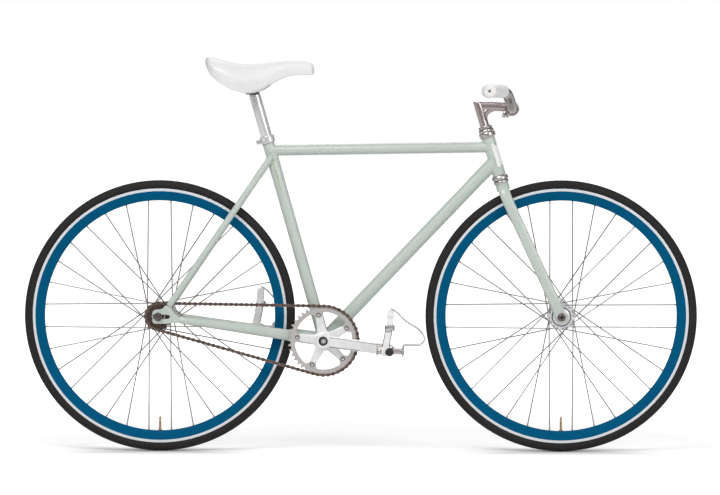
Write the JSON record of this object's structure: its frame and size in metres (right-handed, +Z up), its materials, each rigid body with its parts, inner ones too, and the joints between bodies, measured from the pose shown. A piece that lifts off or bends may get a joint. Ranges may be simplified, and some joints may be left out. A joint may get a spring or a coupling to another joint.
{
  "type": "fixed-gear bicycle",
  "caption": "City bicycle with slim steel tubes, deep rims, bare single-speed chain drive, quill stem, swept flat bar, moulded saddle and pedals with toe clips and straps.",
  "frame": {"origin": "on the ground, midway between the two axles, in the bicycle's centre plane", "axes": "+X forward, +Y to the rider's left, +Z up; the chain is on the -Y side"},
  "size_m": [1.6568, 0.5852, 0.9742],
  "materials": {
    "frame_paint": "gloss mint green enamel",
    "rim_blue": "gloss blue with machined brake tracks",
    "tyre_rubber": "slick black tread",
    "tube_rubber": "plain black",
    "polished_alloy": "polished",
    "steel": "satin",
    "dark_steel": "dark blackened steel",
    "chain_steel": "bronze tinted, oiled",
    "chrome": "mirror bright",
    "white_vinyl": "smooth white cover",
    "grip_rubber": "white, finely ribbed",
    "strap_leather": "white leather"
  },
  "bodies": {
    "frame": {"head_tube": "frame_paint", "top_tube": "frame_paint", "down_tube": "frame_paint", "seat_tube": "frame_paint", "bottom_bracket_shell": "frame_paint", "chainstay_right": "frame_paint", "chainstay_left": "frame_paint", "seat_stay_right": "frame_paint", "seat_stay_left": "frame_paint", "dropout_right": "frame_paint", "dropout_left": "frame_paint", "seat_stay_bridge": "frame_paint", "chainstay_bridge": "frame_paint", "seat_collar": "polished_alloy", "bottom_bracket_cartridge": "steel", "headset_upper_cup": "chrome", "headset_lower_cup": "chrome", "rear_axle": "steel", "rear_axle_nut_right": "steel", "rear_axle_nut_left": "steel", "chain": "chain_steel"},
    "seatpost": {"seatpost": "polished_alloy"},
    "saddle": {"saddle_clamp": "dark_steel", "saddle_rails": "dark_steel", "saddle_shell": "white_vinyl", "saddle_cover": "white_vinyl"},
    "fork": {"fork_steerer": "frame_paint", "fork_blade_right": "frame_paint", "fork_blade_left": "frame_paint", "headset_race_and_locknut": "chrome", "front_axle": "steel", "front_axle_bolt_right": "steel", "front_axle_bolt_left": "steel"},
    "stem": {"stem": "polished_alloy", "stem_expander": "steel"},
    "handlebar": {"handlebar": "polished_alloy", "grip_right": "grip_rubber", "grip_left": "grip_rubber"},
    "front_wheel": {"front_hub_and_spokes": "polished_alloy", "front_rim": "rim_blue", "front_tyre": "tyre_rubber", "front_inner_tube": "tube_rubber"},
    "rear_wheel": {"rear_hub_and_spokes": "polished_alloy", "rear_rim": "rim_blue", "rear_tyre": "tyre_rubber", "rear_inner_tube": "tube_rubber", "rear_cog": "dark_steel", "rear_lockring": "dark_steel"},
    "cranks": {"crank_spindle": "steel", "crank_right": "polished_alloy", "crank_left": "polished_alloy", "chainring": "polished_alloy", "pedal_spindle_right": "steel", "pedal_spindle_left": "steel"},
    "pedal_right": {"pedal_body_right": "polished_alloy", "toe_clip_right": "chrome", "toe_strap_right": "strap_leather"},
    "pedal_left": {"pedal_body_left": "polished_alloy", "toe_clip_left": "chrome", "toe_strap_left": "strap_leather"}
  },
  "joints": [
    {"name": "steer", "type": "hinge", "parent": "frame", "child": "fork", "pos_m": [0.44838, 0, 0.32037], "axis": [-0.284, 0, 0.9588], "range_deg": [-90, 90]},
    {"name": "front_wheel_spin", "type": "hinge", "parent": "fork", "child": "front_wheel", "pos_m": [0.4944, 0, 0.334], "axis": [0, 1, 0], "continuous": true},
    {"name": "rear_wheel_spin", "type": "hinge", "parent": "frame", "child": "rear_wheel", "pos_m": [-0.4944, 0, 0.334], "axis": [0, 1, 0], "continuous": true, "deforming": ["chain"]},
    {"name": "crank_spin", "type": "hinge", "parent": "frame", "child": "cranks", "pos_m": [-0.08933, 0, 0.2748], "axis": [0, 1, 0], "continuous": true},
    {"name": "pedal_right_spin", "type": "hinge", "parent": "cranks", "child": "pedal_right", "pos_m": [0.07437, -0.12, 0.25412], "axis": [0, 1, 0], "continuous": true},
    {"name": "pedal_left_spin", "type": "hinge", "parent": "cranks", "child": "pedal_left", "pos_m": [-0.25303, 0.12, 0.29548], "axis": [0, 1, 0], "continuous": true},
    {"name": "seatpost_slide", "type": "slide", "parent": "frame", "child": "seatpost", "axis": [-0.2723, 0, 0.9622], "range_m": [-0.08, 0.04]},
    {"name": "saddle_tilt", "type": "hinge", "parent": "seatpost", "child": "saddle", "pos_m": [-0.26318, 0, 0.88918], "axis": [0, 1, 0], "range_deg": [-10, 10]},
    {"name": "stem_slide", "type": "slide", "parent": "fork", "child": "stem", "axis": [-0.284, 0, 0.9588], "range_m": [0, 0.03]},
    {"name": "handlebar_tilt", "type": "hinge", "parent": "stem", "child": "handlebar", "pos_m": [0.37245, 0, 0.84376], "axis": [0, 1, 0], "range_deg": [-20, 20]}
  ],
  "couplings": [
    {"joint": "crank_spin", "follows": "rear_wheel_spin", "ratio": 0.38095}
  ]
}
